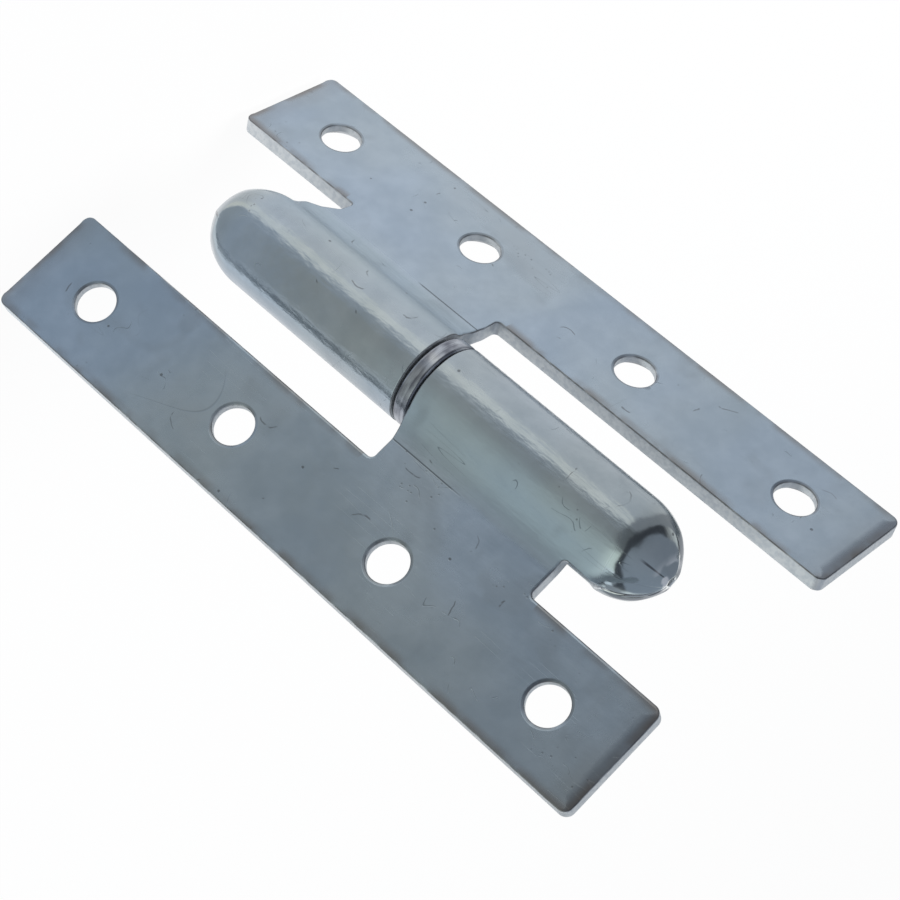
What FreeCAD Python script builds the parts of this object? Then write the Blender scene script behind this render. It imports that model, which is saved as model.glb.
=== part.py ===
"""Lift off hinge: two like leaves folded from sheet steel, a pin and a loose ring.

Both leaves are drawn in one stamping frame: X runs along the pin axis towards the leaf's
rounded end, the strip lies towards minus Y and the outer face looks along plus Z.
The finished hinge stands with its pin upright. Its origin is the middle of the frame
leaf's row of screw holes, on the outer face, which seats on the door frame.
"""
import FreeCAD
import Part

import math
import os

from FreeCAD import Vector

# Sheet and strip, in millimetres
sheet = 3.0                  # thickness of the steel
leaf_length = 140.0          # length of the strip along the pin
strip_width = 22.5           # width of the strip that takes the screws
strip_offset = 17.5          # pin axis to the strip's near edge
strip_corner = 1.2           # radius of the strip's four corners
strip_rise = 0.7             # pin axis up to the plane of the strip's inner face
leaf_lag = 0.8               # mid length of the strip behind the middle of the ring

# Screw holes, punched from the outer face and countersunk on the inner one
hole_diameter = 7.5
countersink_diameter = 10.5
hole_span_inner = 38.0       # centre to centre, the two middle holes
hole_span_outer = 111.0      # centre to centre, the two end holes

# Root and barrel
root_setback = 1.0           # root back from the barrel's end at the ring
root_length = 36.9           # length of the root that joins strip and barrel
root_corner = 1.0            # radius in the corners between root and strip
bend_radius = 9.0            # bend of the root, at mid sheet
flap_drop = 3.9              # pin axis down to the edge of the rolled sheet
lip_run = 4.0                # sheet left past the bend's end where the root is cut away
frame_web = 5.4              # reach of the web that fills the frame leaf's notch
door_web = 0.0               # the same web in the door leaf, whose notch is sharp
barrel_overrun = 3.4         # straight barrel past the end of the root
shoulder_length = 7.2        # end of the root to where the barrel has closed
shoulder_inset = 0.55        # taper of the closing barrel, on the radius
closing_power = 3            # how late along the shoulder the barrel closes
slot_overrun = 4.4           # end of the root to the round end of the barrel's slot
seam_gap = 0.4               # open seam along the rounded end
end_wall = 4.0               # thickness of the rounded end at its tip
end_flat = 6.0               # diameter of the flat inside the rounded end

# Pin and ring
pin_diameter = 12.0
running_clearance = 0.05     # pin to the bore that turns on it, on the radius
press_interference = 0.01    # pin to the bore that grips it, on the radius
pin_reach = 40.0             # middle of the ring to the pin's free end
pin_depth = 41.0             # middle of the ring to the pin's fixed end
pin_nose = 3.0               # length of the taper at the free end
pin_nose_inset = 1.4         # taper of the free end, on the radius
pin_chamfer = 0.8            # chamfer at the fixed end
ring_thickness = 3.2
ring_gap = 0.3               # end play on each side of the ring
ring_inset = 0.05            # ring below the barrels, on the radius
ring_chamfer = 0.6           # chamfer of the ring's outer edges

# Values that follow
pin_radius = pin_diameter / 2
bore_radius = pin_radius + running_clearance
barrel_radius = bore_radius + sheet
strip_near = -strip_offset
strip_far = -strip_offset - strip_width
strip_middle = (strip_near + strip_far) / 2
outer_face = strip_rise + sheet
mid_face = strip_rise + sheet / 2
barrel_start = ring_thickness / 2 + ring_gap
root_start = barrel_start + root_setback
root_end = root_start + root_length
taper_start = root_end + barrel_overrun
shoulder_end = root_end + shoulder_length

# The rounded end is part of a ball that meets the barrel's taper at a tangent
taper = shoulder_inset / (shoulder_end - taper_start)
closed_outer = barrel_radius - shoulder_inset
closed_inner = bore_radius - shoulder_inset
ball_radius = math.hypot(closed_outer, closed_outer * taper)
dome_tip = shoulder_end - closed_outer * taper + ball_radius

# The bend's centre is where the root's curve meets strip and barrel at a tangent
barrel_mid_radius = bore_radius + sheet / 2
bend_height = mid_face + bend_radius
bend_start = -math.sqrt((barrel_mid_radius + bend_radius) ** 2 - bend_height ** 2)
bend_angle = math.atan2(bend_height, bend_start)
bend_run = (bend_angle - math.pi / 2) * bend_radius

# The rolled edge stops short of the root, which leaves a slot along the barrel's inner side
flap_angle = math.pi + math.asin(flap_drop / barrel_radius)

# Past the shoulder the lip lies on the barrel's own curve, with the seam beside it
closed_curvature = 2 / (closed_outer + closed_inner)
closed_lip = bend_angle + lip_run * closed_curvature
closed_flap = closed_lip + seam_gap / closed_outer

# Lying on a flat surface, the hinge rests on its barrel and on both outer edges
edge_radius = math.hypot(strip_far, strip_rise)
rest_fold = 2 * (math.asin(barrel_radius / edge_radius) + math.atan2(strip_rise, -strip_far))


def rounded_outline(corners):
    """Closed wire through (x, y, radius) corners, each rounded by a tangent arc."""
    starts, ends, middles = [], [], []
    for index, (x, y, radius) in enumerate(corners):
        corner = Vector(x, y, 0)
        before = Vector(*corners[index - 1][:2], 0) - corner
        after = Vector(*corners[(index + 1) % len(corners)][:2], 0) - corner
        before.normalize()
        after.normalize()
        half = before.getAngle(after) / 2
        setback = radius / math.tan(half)
        bisector = before + after
        bisector.normalize()
        starts.append(corner + before * setback)
        ends.append(corner + after * setback)
        middles.append(corner + bisector * (radius / math.sin(half) - radius))
    edges = []
    for index in range(len(corners)):
        if corners[index][2] > 0:
            edges.append(Part.Arc(starts[index], middles[index], ends[index]).toShape())
        edges.append(Part.makeLine(ends[index], starts[(index + 1) % len(corners)]))
    return Part.Wire(Part.__sortEdges__(edges))


def around(x, radius, angle):
    """Point at a radius and angle about the pin axis, counted from plus Y towards plus Z."""
    return Vector(x, radius * math.cos(angle), radius * math.sin(angle))


def free_run(x, start_radius, offset, curvature, run, share):
    """Point along the sheet past the barrel's top, where its curvature may turn either way."""
    turn = curvature * run * share
    normal = Vector(0, math.cos(bend_angle), math.sin(bend_angle))
    along = Vector(0, -math.sin(bend_angle), math.cos(bend_angle))
    centre = around(x, start_radius, bend_angle) - normal * (1 / curvature)
    radial = normal * math.cos(turn) + along * math.sin(turn)
    return centre + radial * (1 / curvature + offset)


def lip_section(x, closing, run):
    """Section of the sheet past the barrel's top, from the full bend (closing 0) to closed (closing 1)."""
    middle = bore_radius + sheet / 2 - max(0.0, x - taper_start) * taper
    curvature = closing * closed_curvature - (1 - closing) / bend_radius
    top = [free_run(x, middle, sheet / 2, curvature, run, share) for share in (0, 0.5, 1)]
    under = [free_run(x, middle, -sheet / 2, curvature, run, share) for share in (1, 0.5, 0)]
    return Part.Wire([
        Part.Arc(*top).toShape(), Part.makeLine(top[2], under[0]),
        Part.Arc(*under).toShape(), Part.makeLine(under[2], top[0])])


def shoulder(web):
    """Lip of sheet that closes onto the barrel past the root; a web may fill the notch beside it."""
    sections = []
    half_way = ((root_end + taper_start) / 2, (taper_start + shoulder_end) / 2)
    for x in (root_end, half_way[0], taper_start, half_way[1], shoulder_end):
        past = x - root_end
        fill = max(0.0, 1 - (past / web) ** 2) if web > 0 else 0.0
        run = lip_run + fill * (bend_run - lip_run)
        sections.append(lip_section(x, (past / shoulder_length) ** closing_power, run))
    return Part.makeLoft(sections, True, True)


def swept(edges, first, last):
    """Solid from a closed profile in the XY plane, swept about the pin axis between two angles."""
    profile = Part.Face(Part.Wire(Part.__sortEdges__(edges)))
    profile.rotate(Vector(), Vector(1, 0, 0), math.degrees(first))
    return profile.revolve(Vector(), Vector(1, 0, 0), math.degrees(last - first))


def lines(points):
    """Straight edges through (x, radius) points in the XY plane."""
    corners = [Vector(x, radius, 0) for x, radius in points]
    return [Part.makeLine(corners[i], corners[i + 1]) for i in range(len(corners) - 1)]


def barrel():
    """Rolled wall from the ring to the shoulder, with the slot that the rolled edge leaves open."""
    wall = swept(lines([
        (barrel_start, barrel_radius), (taper_start, barrel_radius), (shoulder_end, closed_outer),
        (shoulder_end, closed_inner), (taper_start, bore_radius), (barrel_start, bore_radius),
        (barrel_start, barrel_radius)]), closed_flap - 2 * math.pi, bend_angle)
    half = (flap_angle - closed_flap) / 2
    round_end = bore_radius * math.tan(half)
    slot_end = root_end + slot_overrun - round_end
    reach = barrel_radius + sheet
    sector = [(0, 0), (slot_end, 0), (slot_end, reach), (0, reach), (0, 0)]
    slot = swept(lines(sector), closed_flap, flap_angle)
    drill = Part.makeCone(0, reach * math.tan(half), reach, Vector(), around(0, 1, closed_flap + half))
    drill.translate(Vector(slot_end, 0, 0))
    return wall.cut([slot, drill])


def dome():
    """Rounded end of the barrel, split along its seam."""
    tip = Vector(dome_tip, 0, 0)
    rim = Vector(shoulder_end, closed_outer, 0)
    centre = Vector(dome_tip - ball_radius, 0, 0)
    between = tip + rim - centre * 2
    between.normalize()
    outside = Part.Arc(rim, centre + between * ball_radius, tip).toShape()
    inside = lines([
        (dome_tip, 0), (dome_tip - end_wall, 0), (dome_tip - end_wall, end_flat / 2),
        (shoulder_end, closed_inner), (shoulder_end, closed_outer)])
    return swept([outside] + inside, closed_flap - 2 * math.pi, closed_lip)


def strip_and_root():
    """Flat part of the sheet with its screw holes."""
    back = -leaf_lag - leaf_length / 2
    front = -leaf_lag + leaf_length / 2
    outline = rounded_outline([
        (back, strip_far, strip_corner), (front, strip_far, strip_corner),
        (front, strip_near, strip_corner), (root_end, strip_near, root_corner),
        (root_end, bend_start, 0), (root_start, bend_start, 0),
        (root_start, strip_near, root_corner), (back, strip_near, strip_corner)])
    flat = Part.Face(outline).extrude(Vector(0, 0, sheet))
    flat.translate(Vector(0, 0, strip_rise))
    depth = (countersink_diameter - hole_diameter) / 2
    for span in (hole_span_inner, hole_span_outer):
        for side in (-1, 1):
            base = Vector(-leaf_lag + side * span / 2, strip_middle, strip_rise)
            hole = Part.makeCylinder(hole_diameter / 2, sheet, base)
            sink = Part.makeCone(countersink_diameter / 2, hole_diameter / 2, depth, base)
            flat = flat.cut(hole.fuse(sink))
    return flat


def leaf(web):
    """One leaf in its stamping frame."""
    root = Part.Face(lip_section(root_start, 0, bend_run)).extrude(Vector(root_length, 0, 0))
    return strip_and_root().fuse([root, barrel(), shoulder(web), dome()]).removeSplitter()


def turned(points):
    """Solid of revolution about the pin axis from (x, radius) points."""
    return swept(lines(points + points[:1]), 0, 2 * math.pi)


def hinge_pin():
    """Pin with its gripped end towards minus X and its tapered free end towards plus X."""
    grip = bore_radius + press_interference
    return turned([
        (-pin_depth, 0), (-pin_depth, grip - pin_chamfer), (pin_chamfer - pin_depth, grip),
        (-barrel_start, grip), (-barrel_start, pin_radius), (pin_reach - pin_nose, pin_radius),
        (pin_reach, pin_radius - pin_nose_inset), (pin_reach, 0)])


def bearing_ring():
    """Loose ring between the barrels, with chamfered outer edges."""
    half = ring_thickness / 2
    outer = barrel_radius - ring_inset
    return turned([
        (-half, bore_radius), (-half, outer - ring_chamfer), (ring_chamfer - half, outer),
        (half - ring_chamfer, outer), (half, outer - ring_chamfer), (half, bore_radius)])


def stand(shape, along, across, fold):
    """Stands a shape up: its X and Y go along the given axes, and it turns about the pin by a fold."""
    facing = along.cross(across)
    matrix = FreeCAD.Matrix(along.x, across.x, facing.x, 0, along.y, across.y, facing.y, 0,
                            along.z, across.z, facing.z, 0, 0, 0, 0, 1)
    stood = shape.copy()
    stood.Placement = FreeCAD.Placement(matrix)
    stood.rotate(Vector(), Vector(0, 0, 1), math.degrees(fold))
    stood.translate(Vector(-strip_middle, outer_face, -leaf_lag))
    return stood


up, down = Vector(0, 0, 1), Vector(0, 0, -1)
right, left = Vector(1, 0, 0), Vector(-1, 0, 0)
parts = {
    "frame_leaf": stand(leaf(frame_web), down, right, 0),
    "door_leaf": stand(leaf(door_web), up, left, rest_fold),
    "hinge_pin": stand(hinge_pin(), up, left, 0),
    "bearing_ring": stand(bearing_ring(), up, left, 0),
}

os.makedirs("parts", exist_ok=True)
for name, shape in parts.items():
    shape.exportStep(f"parts/{name}.step")
    print(name, "valid", shape.isValid(), "solids", len(shape.Solids), "volume", round(shape.Volume, 1))
print("fold at rest", round(math.degrees(rest_fold), 3), "degrees")
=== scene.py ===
# %% [markdown]
# A lift-off hinge in zinc-plated steel.
# Two equal leaves are stamped from 3 mm sheet. A short root on each leaf is bent up and rolled into a
# barrel, and the barrel's free end is closed to a dome. A loose ring sits between the barrels, on a pin.
# The solid model is the fixed frame here: each new surface is drawn in the same place as the solid it
# stands for. The solid pin is plain, so it stays and only gets its finish.

import bpy
import numpy as np
from mathutils import Matrix, Vector
from mathutils.geometry import delaunay_2d_cdt


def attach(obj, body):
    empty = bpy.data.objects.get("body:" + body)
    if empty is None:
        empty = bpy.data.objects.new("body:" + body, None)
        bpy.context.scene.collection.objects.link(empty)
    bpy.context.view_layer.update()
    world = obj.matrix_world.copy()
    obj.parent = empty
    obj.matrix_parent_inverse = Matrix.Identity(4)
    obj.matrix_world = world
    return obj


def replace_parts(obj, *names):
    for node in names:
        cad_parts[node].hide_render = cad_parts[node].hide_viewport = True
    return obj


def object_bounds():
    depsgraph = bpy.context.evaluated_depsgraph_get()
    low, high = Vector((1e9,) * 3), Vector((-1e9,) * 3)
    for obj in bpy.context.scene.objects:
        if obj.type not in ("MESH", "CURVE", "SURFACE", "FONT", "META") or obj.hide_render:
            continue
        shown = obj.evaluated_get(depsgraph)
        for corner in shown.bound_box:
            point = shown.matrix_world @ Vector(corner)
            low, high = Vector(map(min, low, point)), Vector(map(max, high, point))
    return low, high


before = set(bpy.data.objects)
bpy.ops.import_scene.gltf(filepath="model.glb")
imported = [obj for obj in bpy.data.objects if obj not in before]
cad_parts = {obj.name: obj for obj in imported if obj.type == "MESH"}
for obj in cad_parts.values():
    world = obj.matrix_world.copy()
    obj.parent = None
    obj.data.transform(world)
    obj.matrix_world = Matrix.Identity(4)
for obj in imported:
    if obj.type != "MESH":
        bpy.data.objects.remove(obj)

cad_box = [list(corner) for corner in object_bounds()]
print("nodes:", ", ".join(sorted(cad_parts)))

# %% [markdown]
# A stamped leaf starts as a flat blank, so the leaf is drawn that way too: its outline is a path in the
# blank's own two lengths, and one formula then bends and rolls every point of it. The first length, a, runs
# along the pin. The second, s, runs across: it is zero where the bend meets the barrel, negative towards the
# flat strip and positive round the barrel. All of these lengths are millimetres, and turn into metres at
# the very end.

# %% Sizes of the stamped leaf
half_sheet = 1.5
strip_back, strip_front = -70.8, 69.2
root_start, root_end = 2.9, 39.8
barrel_start, dome_start = 1.9, 43.2
barrel_radius, dome_length = 9.05, 11.16
wrap_radius = barrel_radius - half_sheet
bend_radius = 9.0
bend_angle = np.radians(137.41)
bend_run = bend_radius * (bend_angle - np.pi / 2)
near_gap, far_gap = 5.315, 27.815
strip_near, strip_far = -bend_run - near_gap, -bend_run - far_gap
lip_edge, flap_edge, seam_edge = -4.0, 38.46, 42.6
dome_scale, tip_angle = 10.1, 1.46
dome_tip = dome_start + dome_scale * tip_angle
print("strip from", round(strip_far, 2), "to", round(strip_near, 2), "mm, dome ends at", round(dome_tip, 2))

# %% [markdown]
# The outline has straight runs and rounded corners. It could be a Blender curve, but the bend formula needs
# plain arrays of points. A corner of radius r eats r times the tangent of half its turn from both
# neighbours, and an arc about the inner centre joins the two ends. The helper also gives the direction into
# the metal at each point, because the edges are built from that later on.

# %% Path with rounded corners
def rounded_path(corners, step):
    """A closed path with rounded corners: each corner (x, y, radius) becomes an arc about the point one
    radius inside both sides, and the straight runs are divided into pieces no longer than step.
    Returns the points and the unit directions to the left of travel."""
    corners = np.asarray(corners, float)
    points, radii = corners[:, :2], corners[:, 2]
    onward = np.roll(points, -1, 0) - points
    onward /= np.linalg.norm(onward, axis=1)[:, None]
    arriving = np.roll(onward, 1, 0)
    sine = arriving[:, 0] * onward[:, 1] - arriving[:, 1] * onward[:, 0]
    turn = np.arctan2(sine, (arriving * onward).sum(1))
    cut = (radii * np.tan(np.abs(turn) / 2))[:, None]
    first, last = points - arriving * cut, points + onward * cut
    path, left = [], []
    for i in range(len(points)):
        count = max(3, int(abs(turn[i]) * radii[i] / step * 3) + 3)
        angle = np.linspace(0, turn[i], count)[:, None]
        side = np.array([-arriving[i, 1], arriving[i, 0]])
        across = np.cos(angle) * side + np.sin(angle) * np.array([-side[1], side[0]])
        centre = first[i] + side * np.sign(turn[i]) * radii[i]
        path.append(centre - np.sign(turn[i]) * radii[i] * across)
        left.append(across)
        run = first[(i + 1) % len(points)] - last[i]
        parts = int(np.ceil(np.linalg.norm(run) / step))
        share = (np.arange(1, parts) / parts)[:, None]
        path.append(last[i] + share * run)
        left.append(np.tile([-onward[i, 1], onward[i, 0]], (max(parts - 1, 0), 1)))
    return np.vstack(path), np.vstack(left)


print("a rounded triangle has", len(rounded_path([(0, 0, 1), (9, 0, 1), (0, 9, 1)], 1.0)[0]), "points")

# %% [markdown]
# Both leaves come from one tool, so one function gives their outline: the strip, the notch beside the dome,
# the dome, the rolled edge, and the side that faces the ring. Only the root's two edges, at the notch and at
# the ring, differ a little, and those are given to it.

# %% Outline of the blank
strip_corner, outline_step = 1.7, 0.8
flap_end, seam_start = 43.3, 46.4


def blank_outline(notch, ring_side):
    """The leaf's outline, counter-clockwise in (a, s), from corners of (a, s, radius)."""
    strip_end = [(strip_back, strip_far, strip_corner), (strip_front, strip_far, strip_corner),
                 (strip_front, strip_near, strip_corner)]
    dome = [(dome_tip, lip_edge, 1.0), (dome_tip, seam_edge, 1.0)]
    rolled_edge = [(seam_start, seam_edge, 1.4), (flap_end, flap_edge, 2.0), (barrel_start, flap_edge, 1.0)]
    strip_side = [(root_start, strip_near, 1.0), (strip_back, strip_near, strip_corner)]
    return rounded_path(strip_end + notch + dome + rolled_edge + ring_side + strip_side, outline_step)


frame_outline = blank_outline(
    [(root_end, strip_near, 0.5), (root_end + 0.3, -9.9, 1.5), (root_end + 2.8, -bend_run, 1.5),
     (root_end + 4.5, -6.3, 1.5), (root_end + 6.2, -6.1, 0.6), (root_end + 7.0, lip_edge, 1.0)],
    [(barrel_start, 4.5, 5.0), (root_start + 0.8, -4.5, 2.5), (root_start, -9.5, 2.5)])
door_outline = blank_outline(
    [(root_end, strip_near, 1.0), (root_end, lip_edge, 0.9)],
    [(barrel_start, -3.0, 2.5), (root_start, -8.0, 3.0)])
print("outline points:", len(frame_outline[0]), "and", len(door_outline[0]))

# %% [markdown]
# Now the press work. The strip stays flat. The bend turns up round one radius, and the barrel then turns the
# other way round the pin. Past the end of the root the bend is let go: its curvature changes over a few
# millimetres from the bend's own to the barrel's, which makes the twisted shoulder beside the notch, and the
# lip comes to lie on the barrel. The frame leaf lets go a little later than the door leaf. Beyond that the
# barrel's radius follows an ellipse down to the dome's tip, where the press has left five soft facets.
# A Simple Deform modifier can bend a sheet too, but not by a different amount along the same sheet.

# %% Bend and roll the blank
strip_line, face_middle = -12.185, 2.2
frame_shoulder, door_shoulder = (43.2, 48.0), (39.8, 47.0)
facets, facet_ridge = 5, np.radians(106.0)
press_start, press_span, press_depth = 0.6, 0.7, 0.7
steepest = 1.5


def rolled(a, s, w, shoulder):
    """The blank's point (a, s) at height w over the sheet's middle, as x, y, z in the leaf's own frame.
    Flat: y follows s and z follows w. Barrel: the angle is the bend's end less s over the wrap radius, and
    the dome is an ellipse. Bend and lip: an arc that leaves the barrel's tangent, with a curvature that goes
    from -1 / bend to +1 / barrel between the shoulder's start and its end."""
    steep = np.clip((a - dome_start) / dome_scale, 0, steepest)
    tilt_x, tilt_r = np.sin(steep) / dome_length, np.cos(steep) / barrel_radius
    size = np.hypot(tilt_x, tilt_r)
    tilt_x, tilt_r = tilt_x / size, tilt_r / size
    x = np.minimum(a, dome_start) + dome_length * np.sin(steep) + (w - half_sheet) * tilt_x
    middle, offset = barrel_radius * np.cos(steep) - half_sheet * tilt_r, w * tilt_r
    angle = bend_angle - np.maximum(s, 0) / wrap_radius
    off_facet = np.mod(angle - facet_ridge, 2 * np.pi / facets) - np.pi / facets
    pressed = np.clip((steep - press_start) / press_span, 0, 1)
    pressed = pressed * pressed * (3 - 2 * pressed)
    middle = middle * (1 - press_depth * pressed * (1 - np.cos(np.pi / facets) / np.cos(off_facet)))
    y, z = (middle + offset) * np.cos(angle), (middle + offset) * np.sin(angle)

    closing = np.clip((a - shoulder[0]) / (shoulder[1] - shoulder[0]), 0, 1) ** 3
    curve = closing / middle - (1 - closing) / bend_radius
    closed = (shoulder[1] - dome_start) / dome_scale
    run = np.clip(-s, 0, bend_run) * np.where(steep > closed, np.cos(steep) / np.cos(closed), 1)
    half = curve * run / 2
    ahead, fall = run * np.sinc(2 * half / np.pi), run * np.sinc(half / np.pi) * np.sin(half)
    outwards = middle - fall + offset * np.cos(2 * half)
    onwards = ahead + offset * np.sin(2 * half)
    join_y, join_z = np.cos(bend_angle), np.sin(bend_angle)
    lip = s < 0
    y = np.where(lip, outwards * join_y - onwards * join_z, y)
    z = np.where(lip, outwards * join_z + onwards * join_y, z)

    flat = s < -bend_run
    x = np.where(flat, a, x)
    y, z = np.where(flat, strip_line + s + bend_run, y), np.where(flat, face_middle + w, z)
    return np.stack([x, y, z], -1)


def rolled_axes(a, s, w, shoulder, e=1e-3):
    """The rolled sheet's two tangents and its outward normal, from small steps in a and s."""
    along = rolled(a + e, s, w, shoulder) - rolled(a - e, s, w, shoulder)
    across = rolled(a, s + e, w, shoulder) - rolled(a, s - e, w, shoulder)
    normal = np.cross(along, across)
    return along / (2 * e), across / (2 * e), normal / np.linalg.norm(normal, axis=-1)[..., None]


crown = (bend_angle - np.pi / 2) * wrap_radius
print("barrel crown at", rolled(root_end / 2, crown, half_sheet, door_shoulder).round(2))

# %% [markdown]
# A punch leaves an edge with a clear build: the outer face rolls over first, then comes a straight sheared
# wall, and the inner face ends in a small round. The screw holes get the same rolled rim outside, and their
# countersink inside. A Bevel modifier would round all edges alike, so each edge is drawn as a row of rings
# from the outer face to the inner one.

# %% Profile of an edge
wall_round, soft_share, inner_round = 0.3, 0.55, 0.16


def lower_rings(sink):
    """The lower half of an edge as inset, height, outward part and upward part of each ring: a countersink of
    this width, or a small round where it is zero."""
    if sink:
        return np.array([[0, 0, 0.04, sink - 0.05, sink, sink + 0.12],
                         [0.6, 0.04, -0.02, -half_sheet + 0.05, -half_sheet, -half_sheet],
                         [1, 1, 0.7, 0.7, 0.1, 0], [0, 0, -0.7, -0.7, -1, -1]])
    turned = np.linspace(0, np.pi / 2, 4)
    return np.array([inner_round * (1 - np.cos(turned)), -half_sheet + inner_round * (1 - np.sin(turned)),
                     np.cos(turned), -np.sin(turned)])


def edge_profile(roll, slope, sink):
    """Rings of one edge as (inset, height, outward part, upward part), each an array of ring by point.
    From roll inside the edge the face bends down over a soft stretch into a straight slope, and then turns
    down round a small radius. Sink is the countersink's width, or zero."""
    small = np.minimum(0.8 * roll, wall_round)
    soft = soft_share * (roll - small)
    fall, tilt = slope * (roll - small - soft / 2), np.arctan(slope)
    turned = tilt + (np.pi / 2 - tilt) * np.linspace(0, 1, 6)[:, None]
    inset = np.vstack([roll, roll - soft, small * (1 - np.sin(turned))])
    height = half_sheet - np.vstack([0 * roll, slope * soft / 2, fall + small * (1 - np.cos(turned))])
    outward = np.vstack([0 * roll, np.sin(tilt), np.sin(turned)])
    upward = np.vstack([1 + 0 * roll, np.cos(tilt), np.cos(turned)])
    wide = np.ones((1, roll.size))
    return [np.vstack([upper, lower[:, None] * wide])
            for upper, lower in zip((inset, height, outward, upward), lower_rings(sink))]


print("rings on an edge:", len(edge_profile(np.ones(4), 0.1 + np.zeros(4), 0)[0]))

# %% [markdown]
# How far the face rolls over depends on the place: the strip's two ends sag most, the side towards the ring
# is crisp, and all other edges lie between. One width for all would be simpler, but the broad ends catch the
# light. The change from one to the next is averaged over a few points, so that no step shows.

# %% Edges of a leaf
end_roll, side_roll, ring_roll, corner_roll = 2.6, 0.55, 0.3, 1.5
end_slope, side_slope = 0.15, 0.2
corner_reach = 1.8
strip_middle = -0.8
hole_places = strip_middle + np.array([-55.5, -19.0, 19.0, 55.5])
hole_radius, sink_radius = 3.75, 5.25
hole_points, hole_roll, hole_slope = 56, 0.7, 0.3


def edge_loops(outline):
    """All edges of a leaf, first the outline and then the holes, each as (points, directions into the metal,
    roll, slope, sink). A hole's points lie on a circle, run clockwise."""
    loop, left = outline
    end_gap = np.minimum(loop[:, 0] - strip_back, strip_front - loop[:, 0])
    side_gap = np.minimum(np.abs(loop[:, 1] - strip_near), np.abs(loop[:, 1] - strip_far))
    at_ring = (loop[:, 0] < root_start + 0.2) & (loop[:, 1] > strip_near + 0.5)
    at_corner = (end_gap < corner_reach) & (side_gap < corner_reach)
    roll = np.where(at_ring, ring_roll, np.where(end_gap < 0.1, end_roll, side_roll))
    roll = np.convolve(np.concatenate([roll[-3:], roll, roll[:3]]), np.ones(7) / 7, "valid")
    roll = np.where(at_corner, np.minimum(roll, corner_roll), roll)
    loops = [(loop, left, roll, np.where(end_gap < corner_reach, end_slope, side_slope), 0.0)]
    turn = np.linspace(0, 2 * np.pi, hole_points, endpoint=False)
    spoke = np.stack([np.cos(turn), -np.sin(turn)], 1)
    rim = [np.full(hole_points, value) for value in (hole_roll, hole_slope)]
    for a in hole_places:
        centre = np.array([a, (strip_near + strip_far) / 2])
        loops.append((centre + hole_radius * spoke, spoke, *rim, sink_radius - hole_radius))
    return loops


print("edges of a leaf:", len(edge_loops(door_outline)))

# %% [markdown]
# Each edge now goes through the bend formula, ring by ring. Normals from the finished faces would be smeared
# over the narrow rings, so they are mixed here from the sheet's own normal and the edge's direction.

# %% Rings of an edge
def edge_rings(loop, shoulder):
    """Rings of one edge on the rolled sheet: points, normals, places on the blank, and how far each turns
    over, from 0 on the face to 1 on the wall. The normal mixes the face's and the edge's by the profile."""
    points, inward, roll, slope, sink = loop
    inset, height, outward, upward = edge_profile(roll, slope, sink)
    a, s = points[:, 0] + inset * inward[:, 0], points[:, 1] + inset * inward[:, 1]
    along, across, face = rolled_axes(a, s, height, shoulder)
    edge = np.cross(along * inward[:, 1][:, None] - across * inward[:, 0][:, None], face)
    edge /= np.linalg.norm(edge, axis=-1)[..., None]
    normals = edge * outward[..., None] + face * upward[..., None]
    normals /= np.linalg.norm(normals, axis=-1)[..., None]
    return rolled(a, s, height, shoulder), normals, np.stack([a, s], -1), outward / np.hypot(outward, upward)


print("points on an outline's rings:", edge_rings(edge_loops(door_outline)[0], door_shoulder)[3].size)

# %% [markdown]
# Both faces of the sheet share one set of triangles. A plain grid would cut through the outline, so a
# constrained triangulation keeps the outline and the hole rims as edges, and fills the rest from a staggered
# grid, finest on the shoulder and the dome.

# %% Triangles of the sheet
barrel_step, dome_step, wrap_step, strip_step = 1.6, 0.6, 0.75, (6.0, 5.0)
bend_margin, strip_margin = 0.4, 1.0
outline_gap, hole_gap = 0.45, 1.2


def staggered(a_from, a_to, a_step, s_from, s_to, s_step):
    """A grid of points with every second row moved by half a step."""
    a, s = np.meshgrid(np.arange(a_from, a_to, a_step), np.arange(s_from, s_to, s_step))
    a = a + np.where(np.arange(len(a)) % 2, a_step / 2, 0)[:, None]
    return np.stack([a.ravel(), s.ravel()], 1)


def inside(points, loop):
    """True for points inside a closed loop, by counting how often a ray towards +x crosses it."""
    p, q = loop, np.roll(loop, -1, 0)
    x, y = points[:, :1], points[:, 1:]
    span = (p[:, 1] > y) != (q[:, 1] > y)
    rise = np.where(q[:, 1] == p[:, 1], 1, q[:, 1] - p[:, 1])
    return (span & (x < p[:, 0] + (y - p[:, 1]) * (q[:, 0] - p[:, 0]) / rise)).sum(1) % 2 == 1


def in_sheet(points, rims):
    """True for points inside the first rim and outside all others."""
    within = inside(points, rims[0])
    for rim in rims[1:]:
        within &= ~inside(points, rim)
    return within


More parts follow.
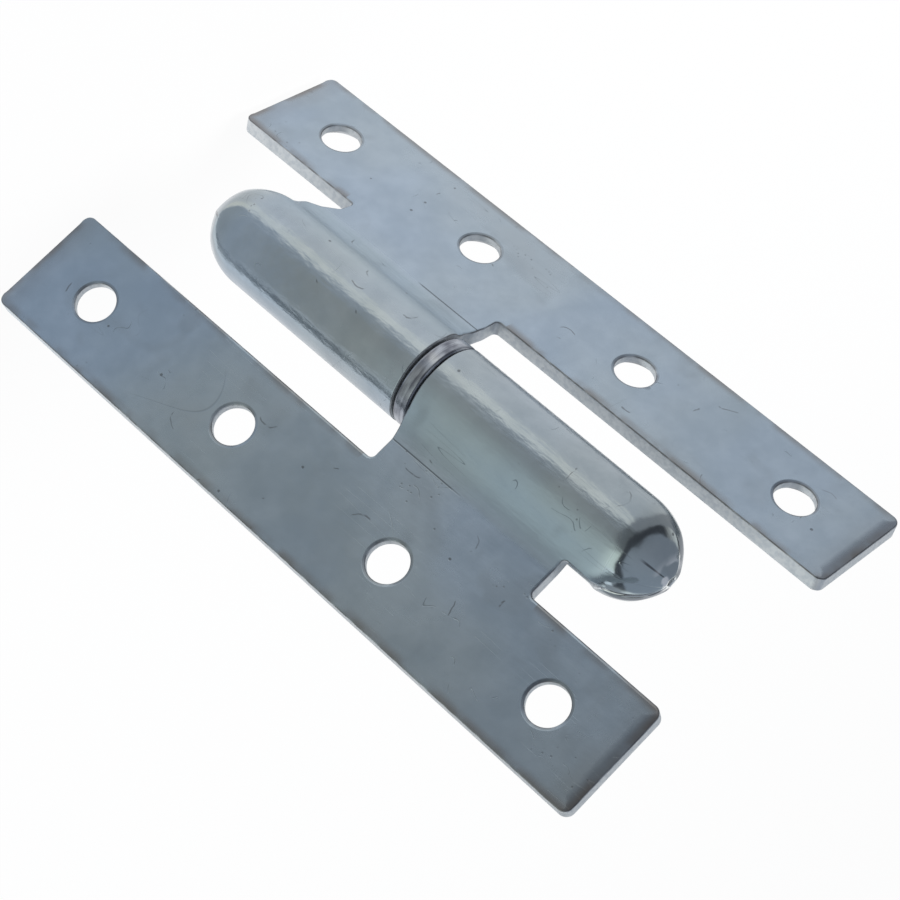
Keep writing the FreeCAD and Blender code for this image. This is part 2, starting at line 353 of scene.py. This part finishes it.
def sheet_triangles(rims):
    """The sheet's grid points, and its triangles between the rims, all counter-clockwise. They count the
    grid's points first, and then those of each rim."""
    bent_from, flat_to = -bend_run - bend_margin, strip_near + strip_margin
    grid = np.vstack([
        staggered(barrel_start, root_end, barrel_step, bent_from, seam_edge, wrap_step),
        staggered(root_end, dome_tip, dome_step, bent_from, seam_edge, wrap_step),
        staggered(strip_back, strip_front, strip_step[0], strip_far, flat_to, strip_step[1])])
    clear = in_sheet(grid, rims)
    for k, rim in enumerate(rims):
        gap = np.linalg.norm(grid[:, None] - rim[None], axis=2).min(1)
        clear &= gap > (hole_gap if k else outline_gap)
    grid = grid[clear]
    points = np.vstack([grid] + rims)
    borders, start = [], len(grid)
    for rim in rims:
        i = np.arange(len(rim))
        borders.append(np.stack([i, np.roll(i, -1)], 1) + start)
        start += len(rim)
    found = delaunay_2d_cdt(points.tolist(), np.vstack(borders).tolist(), [], 0, 1e-6)
    faces = np.array([ids[0] for ids in found[3]])[np.array(found[2])]
    faces = faces[in_sheet(points[faces].mean(1), rims)]
    first, second, third = [points[faces[:, k]] for k in range(3)]
    area = np.cross(second - first, third - first)
    return grid, np.where((area > 0)[:, None], faces, faces[:, ::-1])


print("points on a sample grid:", len(staggered(0, 10, 1.0, 0, 10, 1.0)))

# %% [markdown]
# A few helpers turn arrays into Blender data. Smooth shading alone guesses the normals from the faces. The
# bend formula knows the true ones, so they are set point by point, and flat faces stay flat in reflections
# right up to the rolled edges. Two things are kept for the finish: the blank's own map, with one unit for
# 100 mm, and how far an edge turns over.

# %% From arrays to a mesh
blank_unit = 100


def put_in_scene(name, data):
    """A new object at the origin for a mesh, a lamp or a camera."""
    made = bpy.data.objects.new(name, data)
    bpy.context.scene.collection.objects.link(made)
    return made


def smooth_mesh(name, points, polygons):
    """A smoothly shaded mesh from points in metres."""
    mesh = bpy.data.meshes.new(name)
    mesh.from_pydata(points.tolist(), [], polygons)
    mesh.polygons.foreach_set("use_smooth", np.ones(len(polygons), bool))
    return mesh


def true_normals(mesh, normals):
    """Gives each point of a mesh its own normal."""
    mesh.normals_split_custom_set_from_vertices(normals.tolist())
    mesh.update()
    print(mesh.name, len(mesh.vertices), "points,", len(mesh.polygons), "faces")


def keep_marks(mesh, blank, edge_turn):
    """Keeps each point's place on the blank as a map, and how far its edge turns over as an attribute."""
    turned = mesh.attributes.new("edge_turn", "FLOAT", "POINT")
    turned.data.foreach_set("value", edge_turn.astype(np.float32))
    corner = np.empty(len(mesh.loops), np.int32)
    mesh.loops.foreach_get("vertex_index", corner)
    blank_map = mesh.uv_layers.new(name="blank")
    blank_map.uv.foreach_set("vector", (blank[corner] / blank_unit).astype(np.float32).ravel())


print("one unit of the blank's map is", blank_unit, "mm")

# %% [markdown]
# The leaf is put together from the outer face, the inner face, and rings of quads round every edge.
# A Solidify modifier would give the sheet its thickness too, but not the rolled edges, so both faces are
# bent by the formula at their own height.

# %% Mesh of a leaf
def leaf_mesh(name, outline, shoulder, place):
    """The leaf's closed mesh: outer and inner face from one triangulation, rings of quads round each edge."""
    loops = edge_loops(outline)
    grid, faces = sheet_triangles([p + inward * roll[:, None] for p, inward, roll, _, _ in loops])
    a, s = np.tile(grid, (2, 1)).T
    w = np.repeat([half_sheet, -half_sheet], len(grid))
    points = [rolled(a, s, w, shoulder)]
    normals = [rolled_axes(a, s, w, shoulder)[2] * np.sign(w)[:, None]]
    blank, edge_turn = [np.stack([a, s], 1)], [np.zeros(len(a))]
    top, under, quads = [np.arange(len(grid))], [np.arange(len(grid), len(a))], []
    start = len(a)
    for loop in loops:
        ring_points, ring_normals, ring_blank, ring_turn = edge_rings(loop, shoulder)
        points.append(ring_points.reshape(-1, 3))
        normals.append(ring_normals.reshape(-1, 3))
        blank.append(ring_blank.reshape(-1, 2))
        edge_turn.append(ring_turn.ravel())
        ids = start + np.arange(ring_turn.size).reshape(ring_turn.shape)
        after = np.roll(ids, -1, 1)
        quads.append(np.stack([ids[:-1], ids[1:], after[1:], after[:-1]], -1).reshape(-1, 4))
        top.append(ids[0])
        under.append(ids[-1])
        start += ids.size
    top, under = np.concatenate(top), np.concatenate(under)
    polygons = top[faces].tolist() + under[faces[:, ::-1]].tolist() + np.vstack(quads).tolist()
    mesh = smooth_mesh(name, place(np.vstack(points)), polygons)
    keep_marks(mesh, np.vstack(blank), np.concatenate(edge_turn))
    true_normals(mesh, place(np.vstack(normals)) - place(np.zeros((1, 3))))
    return put_in_scene(name, mesh)


print("leaf helper ready")

# %% [markdown]
# The two leaves are the same stamping, used twice. The frame leaf points down the pin. The door leaf is
# turned end for end, and then about the pin by the angle at which the hinge lies folded. Turning the object
# would do it too, but the place belongs into the mesh, so that patterns on it stay where they are.

# %% The two leaves
pin_axis = np.array([28.75, 3.7, -0.8])
fold = np.radians(28.154)


def on_frame(p):
    """Leaf frame to the model's frame in metres: y across, z towards the back, x down the pin."""
    return (np.stack([p[:, 1], -p[:, 2], -p[:, 0]], 1) + pin_axis) / 1000


def on_door(p):
    """Leaf frame to the model's frame in metres: half a turn over, then turned by the fold about the pin."""
    x, y = -p[:, 1], -p[:, 2]
    turned_x, turned_y = x * np.cos(fold) - y * np.sin(fold), x * np.sin(fold) + y * np.cos(fold)
    return (np.stack([turned_x, turned_y, p[:, 0]], 1) + pin_axis) / 1000


frame_plate = leaf_mesh("frame_plate", frame_outline, frame_shoulder, on_frame)
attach(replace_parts(frame_plate, "frame_leaf"), "frame_side")
door_plate = leaf_mesh("door_plate", door_outline, door_shoulder, on_door)
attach(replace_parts(door_plate, "door_leaf"), "door_side")

# %% [markdown]
# The bearing ring is turned and tumbled, so all its edges are round. Its section is a rounded rectangle,
# carried round the pin: radius times cosine and sine of the turn. A Screw modifier could do that, but the
# section's own normals keep the thin edges clean.

# %% Bearing ring
ring_bore, ring_radius, ring_half = 6.05, 9.0, 1.6
bore_round, rim_round = 0.3, 0.7
section_step, ring_parts = 0.25, 120


def turned_ring(name, section, count):
    """A closed section of (radius, height) carried round the pin axis."""
    ring, left = section
    v = np.linspace(0, 2 * np.pi, count, endpoint=False)[:, None]
    radius, height = ring[:, 0], ring[:, 1]
    points = np.stack([radius * np.cos(v), radius * np.sin(v), height + 0 * v], -1)
    normals = -np.stack([left[:, 0] * np.cos(v), left[:, 0] * np.sin(v), left[:, 1] + 0 * v], -1)
    ids = np.arange(count * len(ring)).reshape(count, len(ring))
    after = np.roll(ids, -1, 0)
    quads = np.stack([ids, after, np.roll(after, -1, 1), np.roll(ids, -1, 1)], -1).reshape(-1, 4)
    mesh = smooth_mesh(name, (points.reshape(-1, 3) + pin_axis) / 1000, quads.tolist())
    true_normals(mesh, normals.reshape(-1, 3))
    return put_in_scene(name, mesh)


ring_section = rounded_path(
    [(ring_bore, -ring_half, bore_round), (ring_radius, -ring_half, rim_round),
     (ring_radius, ring_half, rim_round), (ring_bore, ring_half, bore_round)], section_step)
ring = turned_ring("turned_ring", ring_section, ring_parts)
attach(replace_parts(ring, "bearing_ring"), "ring")

# %% [markdown]
# Materials are made of shader nodes. Wiring them by hand hides the arithmetic, so a small class holds one
# output socket: two values can be added or multiplied as in ordinary Python, and one method makes any other
# node. The short methods below it are for the few nodes that come up again and again.

# %% Shader arithmetic
class Value:
    """One output socket in a node tree."""

    def __init__(self, tree, socket=None):
        self.tree, self.socket = tree, socket

    def node(self, kind, settings=None, inputs=None, output=0):
        """A node of any kind: its settings are set first, then its sockets get values or links."""
        made = self.tree.nodes.new(kind)
        for key, value in (settings or {}).items():
            setattr(made, key, value)
        for key, value in (inputs or {}).items():
            if isinstance(value, Value):
                self.tree.links.new(value.socket, made.inputs[key])
            else:
                made.inputs[key].default_value = value
        return Value(self.tree, made.outputs[output])

    def math(self, operation, *values):
        """A Math node on these values."""
        return self.node("ShaderNodeMath", {"operation": operation}, dict(enumerate(values)))

    def __add__(self, other):
        return self.math("ADD", self, other)

    def __radd__(self, other):
        return self.math("ADD", other, self)

    def __sub__(self, other):
        return self.math("SUBTRACT", self, other)

    def __rsub__(self, other):
        return self.math("SUBTRACT", other, self)

    def __mul__(self, other):
        return self.math("MULTIPLY", self, other)

    def __rmul__(self, other):
        return self.math("MULTIPLY", other, self)

    def __truediv__(self, other):
        return self.math("DIVIDE", self, other)

    def __rtruediv__(self, other):
        return self.math("DIVIDE", other, self)

    def __abs__(self):
        return self.math("ABSOLUTE", self)

    def least(self, other):
        """The smaller of the two."""
        return self.math("MINIMUM", self, other)

    def most(self, other):
        """The larger of the two."""
        return self.math("MAXIMUM", self, other)

    def ramp(self, low, high, to_low=0.0, to_high=1.0):
        """A smooth step from to_low at low to to_high at high."""
        return self.node("ShaderNodeMapRange", {"interpolation_type": "SMOOTHSTEP"},
                         {0: self, 1: low, 2: high, 3: to_low, 4: to_high})

    def blend(self, first, second):
        """The colour first where this value is 0, and second where it is 1."""
        return self.node("ShaderNodeMix", {"data_type": "RGBA"}, {0: self, 6: first, 7: second}, 2)

    def vector(self, operation, other):
        """This colour or vector joined with another one, part by part."""
        return self.node("ShaderNodeVectorMath", {"operation": operation}, {0: self, 1: other})

    def part(self, axis):
        """The x, y or z of this vector, as axis 0, 1 or 2."""
        return self.node("ShaderNodeSeparateXYZ", {}, {0: self}, axis)

    def noise(self, scale, detail=2.0, **inputs):
        """Noise over this vector."""
        inputs.update({"Vector": self, "Scale": scale, "Detail": detail})
        return self.node("ShaderNodeTexNoise", {}, inputs)

    def cells(self, scale, output, **settings):
        """Cells over this vector: output 0 is the distance to a centre, 1 a chance colour, 2 the centre."""
        return self.node("ShaderNodeTexVoronoi", settings, {"Vector": self, "Scale": scale}, output)

    def stretched(self, turn, scale):
        """This vector turned about Z and scaled, for patterns with a direction."""
        return self.node("ShaderNodeMapping", {}, {0: self, 2: (0, 0, np.radians(turn)), 3: scale})

    def close(self, kind="ShaderNodeOutputMaterial"):
        """Makes this shader the surface of its material, or of the world."""
        end = self.tree.nodes.new(kind)
        self.tree.links.new(self.socket, end.inputs["Surface"])


def fresh_tree(owner):
    """An emptied node tree of a material or the world, ready for values."""
    owner.use_nodes = True
    owner.node_tree.nodes.clear()
    return Value(owner.node_tree)


def finish_metal(tree, colour, roughness, bump):
    """Closes a material with a metallic surface."""
    tree.node("ShaderNodeBsdfPrincipled", {}, {
        "Base Color": colour, "Metallic": 1.0, "Roughness": roughness, "Normal": bump}).close()


print("shader helpers ready")

# %% [markdown]
# The plate is bright zinc over steel: a cool grey metal with a cloudy tone. A painted picture could carry
# its marks, but would blur close up, so each mark is worked out here as a mask from 0 to 1. Marks without a
# direction read Object coordinates, in metres. Marks that follow the sheet read the blank's map: along the
# pin and across it, in millimetres. Clouds are two sizes of noise mixed, and a fine grain is kept for later.

# %% Zinc plate: places and tone
zinc = bpy.data.materials.new("zinc_plate")
plate = fresh_tree(zinc)
place = plate.node("ShaderNodeTexCoord", {}, {}, "Object")
sheet = plate.node("ShaderNodeUVMap", {"uv_map": "blank"})
edge_turn = plate.node("ShaderNodeAttribute", {"attribute_name": "edge_turn"}, {}, "Fac")
along, across = [sheet.part(axis) * blank_unit for axis in range(2)]

cloud = place.noise(38, 4.0, Roughness=0.6)
patch = place.noise(210, 3.0, Roughness=0.55)
grain = place.noise(2600, 2.0)
tone = (cloud * 0.65 + patch * 0.35).ramp(0.36, 0.66)
zinc_grey = tone.blend((0.305, 0.37, 0.435, 1), (0.375, 0.445, 0.515, 1))
print("tone:", len(zinc.node_tree.nodes), "nodes so far")

# %% [markdown]
# Plated parts are tumbled and shipped loose, so they rub on each other. A line where smooth noise crosses one
# level makes a long hair-fine arc, and livelier noise makes short curls. Noise stretched along one
# direction makes straight scratches. Each is let through in patches only, by another noise.

# %% Zinc plate: scratches and smudges
arcs = abs(place.noise(24, 0.0) - 0.52).ramp(0.0012, 0.0004)
arcs = arcs * place.noise(50, 1.0).ramp(0.56, 0.66) * 0.4
curls = abs(place.noise(130, 1.0, Distortion=0.4) - 0.5).ramp(0.005, 0.0015)
curls = curls * place.noise(150, 1.0).ramp(0.58, 0.64) * place.noise(480, 0.0).ramp(0.48, 0.58) * 0.8
straight = abs(sheet.stretched(32, (1.2, 24, 1)).noise(2.0, 0.0) - 0.5).ramp(0.005, 0.0015)
straight = straight * place.noise(60, 1.0).ramp(0.58, 0.66) * 0.7
scratch = (arcs + curls + straight).least(1.0)
smudge = place.noise(75, 2.5, Roughness=0.5, Distortion=0.8).ramp(0.54, 0.72)
dull = place.noise(26, 3.0, Roughness=0.7).ramp(0.56, 0.72)
print("scratches:", len(zinc.node_tree.nodes), "nodes so far")

# %% [markdown]
# Small dark specks are dirt caught in the plating. Voronoi cells scatter points, and a cell's chance colour
# picks the few that get a speck. Finer pits come in groups, where a broad noise is high.

# %% Zinc plate: specks and pits
speck_scale, pit_scale = 260.0, 800.0
chance = plate.node("ShaderNodeSeparateColor", {}, {0: place.cells(speck_scale, 1)}, 0)
specks = place.cells(speck_scale, 0).ramp(0.09, 0.05) * chance.ramp(0.80, 0.84)
pits = place.cells(pit_scale, 0).ramp(0.2, 0.1) * place.noise(75, 2.0).ramp(0.62, 0.70)
specks = specks.most(pits * 0.7)
print("specks:", len(zinc.node_tree.nodes), "nodes so far")

# %% [markdown]
# Nicks are short curved marks from knocks. Each cell of the blank's map gets at most one: the way from the
# cell's centre is turned by a chance angle, and a stroke is drawn along it with a chance length and curve.
# Both leaves share one blank, so the pattern is moved for the door leaf, which lies beyond the pin. The
# barrels lie one above the other instead, so there the height decides.

# %% Zinc plate: nicks
nick_cells, nick_shift, full_turn = 10.0, (3.7, 1.3), 6.28
pin_x, pin_y, pin_z = (pin_axis / 1000).tolist()
split_x, split_z = 0.00005, 0.0001
on_barrel = across.ramp(-0.1, 0.1)
door_side = place.part(0).ramp(pin_x - split_x, pin_x + split_x) * (1 - on_barrel)
door_side = door_side + place.part(2).ramp(pin_z - split_z, pin_z + split_z) * on_barrel
moved = plate.node("ShaderNodeCombineXYZ", {}, {axis: door_side * nick_shift[axis] for axis in range(2)})
moved = sheet.vector("ADD", moved)
centre, drawn = [moved.cells(nick_cells, output, voronoi_dimensions="2D") for output in (2, 1)]
turn, reach, kind = [plate.node("ShaderNodeSeparateColor", {}, {0: drawn}, k) for k in range(3)]
stroke = plate.node("ShaderNodeVectorRotate", {"rotation_type": "Z_AXIS"},
                    {0: moved.vector("SUBTRACT", centre), 3: turn * full_turn})
nick_x, nick_y = [stroke.part(axis) * blank_unit for axis in range(2)]
nick_y = nick_y + (place.noise(420, 1.0) - 0.5) * 1.4 + nick_x * nick_x * (kind - 0.7) * 1.2
nicks = abs(nick_y).ramp(0.17, 0.06) * (abs(nick_x) - reach * 1.7).ramp(0.3, -0.1)
nicks = nicks * kind.ramp(0.42, 0.52) * place.noise(600, 1.0).ramp(0.34, 0.48) * along.ramp(43.0, 41.0)
print("nicks:", len(zinc.node_tree.nodes), "nodes so far")

# %% [markdown]
# Marks in known places are drawn on the blank's map. A dark line runs along the start of the bend, clear on
# the half towards the ring and broken beyond. The dome's five facets meet in creases, spaced evenly round the
# barrel: Ping-Pong folds the length across onto the nearest one. The creases are darkened with painted shade,
# and a pale patch near the dome's tip is a painted highlight.

# %% Zinc plate: press marks
pressed = along.ramp(18.5, 16.5)
bend_line = abs(across + bend_run + 0.4).ramp(0.2, 0.08)
bend_line = bend_line * pressed.most(place.noise(60, 1.0).ramp(0.5, 0.6) * 0.5)
bend_line = bend_line * along.ramp(2.6, 3.6) * along.ramp(40.0, 38.5)
crease_gap = float(2 * np.pi / facets * wrap_radius)
first_crease = float((bend_angle - facet_ridge) * wrap_radius)
round_end = across.ramp(-6.0, -4.5)
dome = along.ramp(43.5, 48.0) * round_end
# Painted shade: this mask darkens the creases in the colour, and also cuts them into the relief.
crease = across.math("PINGPONG", across - first_crease, crease_gap / 2).ramp(0.34, 0.12)
crease = crease * along.ramp(49.5, 51.5) * round_end * place.noise(160, 1.0).ramp(0.36, 0.5)
# Painted highlight: a pale patch near the dome's tip stands in for glints on its folds.
tip = along.ramp(52.5, 55.5) * round_end * place.noise(420, 1.0).ramp(0.45, 0.6)
bent = across.ramp(-bend_run - 1.0, -bend_run + 1.5)
flank = bent * across.ramp(7.0, 2.0)
print("bend and dome marks:", len(zinc.node_tree.nodes), "nodes so far")

# %% [markdown]
# Edges are where a plate shows its handling: dirt stays along the strip's edges and ends. A thin dark line of
# painted shade runs where the face turns over, and the sheared wall is painted pale and mottled, a painted
# highlight. The strip's edges are known lengths, and the attribute of how far an edge turns over tells the
# face from the wall.

# %% Zinc plate: edges
no_edge = 50.0
root = along.ramp(1.0, 3.0) * along.ramp(42.0, 40.0)
ends = (along - strip_back).least(strip_front - along)
edges = ends.least(across - strip_far).least(strip_near - across + root * no_edge)
grime = place.noise(140, 3.0).ramp(0.34, 0.62)
grime = edges.ramp(2.0, 0.2) * grime * 0.65 + ends.ramp(6.0, 0.5) * 0.22
grime = grime * across.ramp(strip_near + 0.4, strip_near) * edge_turn.ramp(0.95, 0.45)
# Painted shade: a thin dark line where the face rolls over into the wall.
painted_edge_shade = edge_turn.ramp(0.16, 0.4) * edge_turn.ramp(0.98, 0.8) * (1 - dome)
painted_edge_shade = painted_edge_shade * place.noise(260, 2.0).ramp(0.34, 0.58, 0.25, 1.0)
# Painted highlight: the sheared wall is painted pale, mottled by fine noise.
wall = edge_turn.ramp(0.25, 0.9) * place.noise(1100, 3.0).ramp(0.32, 0.62, 0.72, 1.0)
print("edges:", len(zinc.node_tree.nodes), "nodes so far")

# %% [markdown]
# The colour is built up like coats of paint. The grey is first tinted: warmer on the barrel, paler on the
# flank of the bend as a painted highlight, darker on the dome, and a little to either side in broad clouds.
# Then each mark is laid over it with its own colour, and the last one laid is the one on top. Some coats are
# painted light and shade: painted highlights on the tip and the sheared wall, and painted shade in the
# creases and along the rolled edge.

# %% Zinc plate: colour
warmer, darker = (1.01, 0.975, 0.925), (0.90, 0.88, 0.83)
colour = across.ramp(-2.0, 4.0).blend(zinc_grey, zinc_grey.vector("MULTIPLY", warmer))
# Painted highlight: the flank of the bend is painted paler and bluer, as if a band of light fell on it.
colour = (flank * 0.5).blend(colour, (0.50, 0.60, 0.66, 1))
colour = dome.blend(colour, colour.vector("MULTIPLY", darker))
hue = place.noise(30, 2.0).ramp(0.38, 0.62).blend((0.985, 1.0, 1.03, 1), (1.02, 1.01, 0.985, 1))
colour = colour.vector("MULTIPLY", hue)
coats = {
    "smudges": (smudge * 0.3, (0.235, 0.275, 0.31, 1)),
    "dull clouds": (dull * 0.35, (0.31, 0.345, 0.37, 1)),
    "scratches": (scratch * 0.55, (0.11, 0.13, 0.15, 1)),
    "specks": (specks * 0.7, (0.10, 0.11, 0.12, 1)),
    "nicks": (nicks * 0.65, (0.12, 0.13, 0.14, 1)),
    "bend line": (bend_line * 0.75, (0.08, 0.095, 0.11, 1)),
    # Painted shade: the dome's creases are darkened almost to black.
    "creases": (crease * 0.8, (0.05, 0.055, 0.065, 1)),
    # Painted highlight on the dome's tip.
    "painted tip highlight": (tip * 0.8, (0.85, 0.87, 0.88, 1)),
    # Painted highlight on the sheared wall.
    "painted wall highlight": (wall, (0.72, 0.75, 0.765, 1)),
    "grime": (grime, (0.20, 0.185, 0.175, 1)),
    # Painted shade along the rolled edge.
    "painted edge shade": (painted_edge_shade * 0.75, (0.115, 0.115, 0.12, 1)),
}
for mask, coat in coats.values():
    colour = mask.blend(colour, coat)
print("coats:", ", ".join(coats))

# %% [markdown]
# Rough places blur what they mirror, and the dome, which the press has polished, is the smoothest. The relief
# is made by two Bump nodes, one feeding the other: slow ripples where the sheet is bent, rolled and pressed,
# and then the small marks. Moving the mesh itself would need far more points for the same look.

# %% Zinc plate: roughness and relief
roughness = 0.2 + cloud.ramp(0.35, 0.7) * 0.08 + scratch * 0.12
roughness = roughness + edge_turn * 0.35 + grain * 0.02 + flank * 0.28
roughness = roughness * (1 - dome) + dome * 0.13
ripple = sheet.stretched(0, (30, 110, 1)).noise(1.0, 2.0) + place.noise(230, 2.0)
ripple = ripple * (0.16 + bent * 0.84) * (1 - dome * 0.8) + place.noise(190, 1.0) * dome * 6.0
wave = plate.node("ShaderNodeBump", {}, {"Strength": 1.0, "Distance": 0.00008, "Height": ripple})
relief = grain * 0.04 + patch * 1.1 + cloud * 2.0
relief = relief - scratch * 0.7 - specks * 0.6 - bend_line * 0.8 - crease * 1.5
bump = plate.node("ShaderNodeBump", {}, {
    "Strength": 0.35, "Distance": 0.00012, "Height": relief, "Normal": wave})
finish_metal(plate, colour, roughness, bump)
for leaf in (frame_plate, door_plate):
    leaf.data.materials.append(zinc)
print("zinc nodes:", len(zinc.node_tree.nodes))

# %% [markdown]
# The ring is turned steel with the same plating, with bright and dark streaks round its rim: partly turning
# marks in its tone, and partly painted sheen, the bands a turned surface mirrors. The pin is ground steel:
# almost a mirror, with faint grinding lines round it. It shows only when the door side is lifted off. An
# anisotropic shader could stand for such lines, but streaks in the tone show better on so small a rim.

# %% Ring and pin
def turned_steel(name, light, dark, roughness, streak):
    """Turned or ground steel: streaks run round the pin axis, so the noise is stretched the other way."""
    material = bpy.data.materials.new(name)
    steel = fresh_tree(material)
    spot = steel.node("ShaderNodeTexCoord", {}, {}, "Object")
    rings = spot.stretched(0, (40, 40, 2600)).noise(1.0, 3.0)
    smear = spot.stretched(0, (260, 260, 700)).noise(1.0, 2.0)
    streaks = (rings * streak + smear * (1 - streak)).ramp(0.36, 0.64)
    rough = roughness + rings * 0.12 + smear * 0.08
    relief = rings + smear * 0.6
    lines = steel.node("ShaderNodeBump", {}, {"Strength": 0.3, "Distance": 0.00005, "Height": relief})
    finish_metal(steel, streaks.blend(dark, light), rough, lines)
    return material


# Partly painted sheen: the ring's dark and light streaks stand in part for reflections round its turned rim.
ring_steel = turned_steel("ring_steel", (0.40, 0.43, 0.475, 1), (0.14, 0.15, 0.18, 1), 0.16, 0.4)
ring.data.materials.append(ring_steel)
pin_steel = turned_steel("pin_steel", (0.56, 0.57, 0.58, 1), (0.44, 0.45, 0.46, 1), 0.12, 0.8)
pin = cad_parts["hinge_pin"]
for pin_slot in pin.material_slots:
    pin_slot.material = pin_steel
print("pin slots:", len(pin.material_slots))

# %% [markdown]
# Metal shows its surroundings more than its own colour. Here they are a white table and a white room, with a
# grey side from the camera round to its right: that gives each barrel its lengthwise dark band. Panels and
# lamps could be set up for it, but one rule for the brightness in each direction is easier to steer. The
# table and the room both follow it, so the band runs on unbroken from one to the other.

# %% Brightness of the surroundings
camera_side = -49.7


def sector(facing, middle, half, soft):
    """1 inside a sector of azimuths and 0 outside, from the cosine of the angle to its middle, in degrees."""
    edge = float(np.cos(np.radians(half)))
    width = float(np.sin(np.radians(half)) * np.radians(soft))
    return facing(middle).ramp(edge - width, edge + width)


def surroundings(direction, distance):
    """Colour of the room for a direction from the hinge and a distance along the table, in metres. Also
    gives the function that turns an azimuth from the camera's side into a cosine."""
    x, y = direction.part(0), direction.part(1)
    square = x * x + y * y
    length = square.math("SQRT", square) + 1e-6

    def facing(azimuth):
        """The cosine of the angle between the direction and an azimuth, in degrees from the camera's side."""
        angle = np.radians(camera_side + azimuth)
        return (x * float(np.cos(angle)) + y * float(np.sin(angle))) / length

    near, far = distance.ramp(0.0, 0.45, 1.0, 0.0), distance.ramp(0.5, 1.3)
    white = near.blend((0.86, 0.87, 0.88, 1), (1.08, 1.08, 1.10, 1))
    white = sector(facing, -41, 9, 7).blend(white, (1.37, 1.33, 1.22, 1))
    white = far.blend(white, (0.46, 0.47, 0.50, 1))
    grey = near.blend((0.47, 0.47, 0.45, 1), (0.56, 0.57, 0.55, 1))
    blue = near.blend((0.46, 0.48, 0.49, 1), (0.60, 0.65, 0.72, 1))
    grey = sector(facing, -26, 12, 8).blend(grey, blue)
    grey = distance.ramp(0.10, 0.04).blend(grey, (0.60, 0.65, 0.71, 1))
    grey = far.blend(grey, (0.25, 0.26, 0.27, 1))
    side = distance.ramp(0.3, 0.9).blend((0.61, 0.66, 0.63, 1), (1.15, 1.22, 1.12, 1))
    grey = (sector(facing, 58, 38, 9) * distance.ramp(0.13, 0.19)).blend(grey, side)
    grey = sector(facing, 92, 18, 8).blend(grey, (1.24, 1.28, 1.32, 1))
    return sector(facing, 37.5, 65.5, 4).blend(white, grey), facing


print("camera's side:", camera_side, "degrees")

# %% [markdown]
# Near the horizon the room continues the table's brightness. Above that comes a band of wall, bright opposite
# the camera and dark elsewhere, and then a dim ceiling. To the camera the whole room is plain white: a Light
# Path node tells the two apart, so a white background takes no extra light on the hinge.

# %% Room
pale = (1.0, 1.0, 1.0, 1)
room_distance = 2.0
room = bpy.data.worlds.new("room")
bpy.context.scene.world = room
air = fresh_tree(room)
toward = air.node("ShaderNodeTexCoord", {}, {}, "Generated")
rise = toward.part(2)
light, facing = surroundings(toward, rise * 0 + room_distance)
wall_band = sector(facing, 180, 65, 15).blend((0.10, 0.105, 0.12, 1), (1.25, 1.25, 1.22, 1))
light = rise.ramp(0.19, 0.27).blend(light, wall_band)
light = rise.ramp(0.43, 0.54).blend(light, (0.42, 0.45, 0.51, 1))
seen = air.node("ShaderNodeLightPath", {}, {}, "Is Camera Ray")
air.node("ShaderNodeBackground", {}, {"Color": seen.blend(light, pale)}).close("ShaderNodeOutputWorld")
print("room nodes:", len(room.node_tree.nodes))

# %% [markdown]
# The table lies just under the hinge. It glows white to the camera and shows the surroundings' brightness in
# metal, while a share of plain diffuse white keeps the hinge's shadow.

# %% Table
table_half, table_gap = 6.0, 0.0002
table_height = cad_box[0][2] - table_gap
corners = table_half * np.array([[-1, -1], [1, -1], [1, 1], [-1, 1]])
top = bpy.data.meshes.new("table")
top.from_pydata([(x, y, table_height) for x, y in corners.tolist()], [], [(0, 1, 2, 3)])
table = put_in_scene("table", top)
white_table = bpy.data.materials.new("white_table")
board = fresh_tree(white_table)
spot = board.node("ShaderNodeTexCoord", {}, {}, "Object")
from_pin = spot.vector("SUBTRACT", (pin_x, pin_y, table_height))
distance = board.node("ShaderNodeVectorMath", {"operation": "LENGTH"}, {0: from_pin}, 1)
camera_ray, mirror_ray, glass_ray = [board.node("ShaderNodeLightPath", {}, {}, f"Is {kind} Ray")
                                     for kind in ("Camera", "Glossy", "Transmission")]
glow = camera_ray.blend(surroundings(from_pin, distance)[0], pale)
shining = board.node("ShaderNodeEmission", {}, {"Color": glow, "Strength": 1.0})
shaded = board.node("ShaderNodeBsdfDiffuse", {}, {"Color": (0.9, 0.9, 0.9, 1)})
share = camera_ray * 0.95 + (mirror_ray + glass_ray) * 0.98
board.node("ShaderNodeMixShader", {}, {0: share, 1: shaded, 2: shining}).close()
top.materials.append(white_table)
print("table at", round(table_height, 4), "m")

# %% [markdown]
# One broad soft lamp above gives the table its faint shadow. It would also show as a round spot on every
# bright edge, so it is hidden from mirrored rays.

# %% Lamp
lamp_place, lamp_target = Vector((-0.35, -0.25, 0.75)), Vector((0.03, 0.0, 0.0))
soft_light = bpy.data.lights.new("overhead", "AREA")
soft_light.shape, soft_light.size, soft_light.energy = "DISK", 0.5, 6.0
lamp = put_in_scene("overhead", soft_light)
lamp.location = lamp_place
lamp.rotation_euler = (lamp_target - lamp_place).to_track_quat("-Z", "Y").to_euler()
lamp.visible_glossy = False
print("lamp", round((lamp_target - lamp_place).length, 2), "m away")

# %% [markdown]
# The camera stands about 0.4 m away, a little above the hinge, and is rolled so that the pin runs across the
# picture from upper left to lower right. Its three axes and its lens come from matching edges and hole
# centres. Three angles would do as well, but axes show directly which way the picture's right and top point.

# %% Camera
camera_place = (0.269422, -0.269525, 0.166534)
right = Vector((-0.68952, -0.18739, 0.69961))
up = Vector((-0.41507, -0.68935, -0.59373))
view = bpy.data.cameras.new("photo")
view.sensor_width, view.lens, view.clip_start = 36.0, 94.267, 0.01
camera = put_in_scene("photo", view)
axes = Matrix((right, up, right.cross(up))).transposed().to_4x4()
camera.matrix_world = Matrix.Translation(camera_place) @ axes
bpy.context.scene.camera = camera
bpy.context.scene.view_settings.view_transform = "Standard"
print("camera at", [round(v, 3) for v in camera.location])
